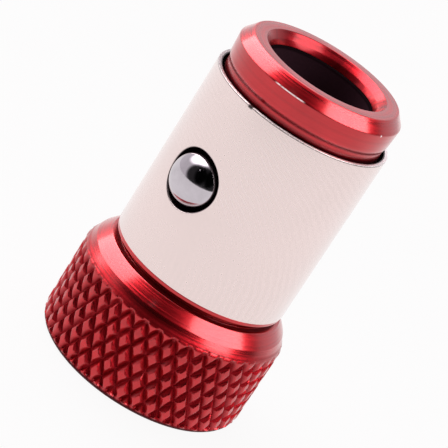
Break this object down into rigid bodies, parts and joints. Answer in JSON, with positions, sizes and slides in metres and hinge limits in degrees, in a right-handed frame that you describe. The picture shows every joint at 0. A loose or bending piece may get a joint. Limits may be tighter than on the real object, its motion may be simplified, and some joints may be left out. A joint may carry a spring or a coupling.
{
  "type": "magnetic screwdriver bit ring",
  "caption": "Magnetic ring for a hex screwdriver bit: knurled collar, thin plated sleeve with a windowed steel ball, and an open bore with a bevelled rim.",
  "frame": {"origin": "centre of the base, on the bore's axis, at the collar's flat base face", "axes": "+Z along the bore towards the bevelled rim; the ball and its window are on the -Y side"},
  "size_m": [0.015, 0.015, 0.0243],
  "materials": {
    "red_anodised_collar": "satin red anodised, knurled",
    "red_anodised_tube": "satin red anodised, fine turning lines",
    "liner_black": "matt black",
    "sleeve_nickel": "satin nickel plate",
    "magnet_plating": "bright nickel plate",
    "ball_steel": "polished steel"
  },
  "bodies": {
    "ring": {"knurled_collar": "red_anodised_collar", "ring_magnet": "magnet_plating", "inner_tube": "red_anodised_tube", "bore_liner": "liner_black", "outer_sleeve": "sleeve_nickel"},
    "ball": {"detent_ball": "ball_steel"}
  },
  "joints": [
    {"name": "ball_slide", "type": "slide", "parent": "ring", "child": "ball", "axis": [0, -1, 0], "range_m": [0, 0.0003], "stiffness_N_per_m": 50}
  ]
}
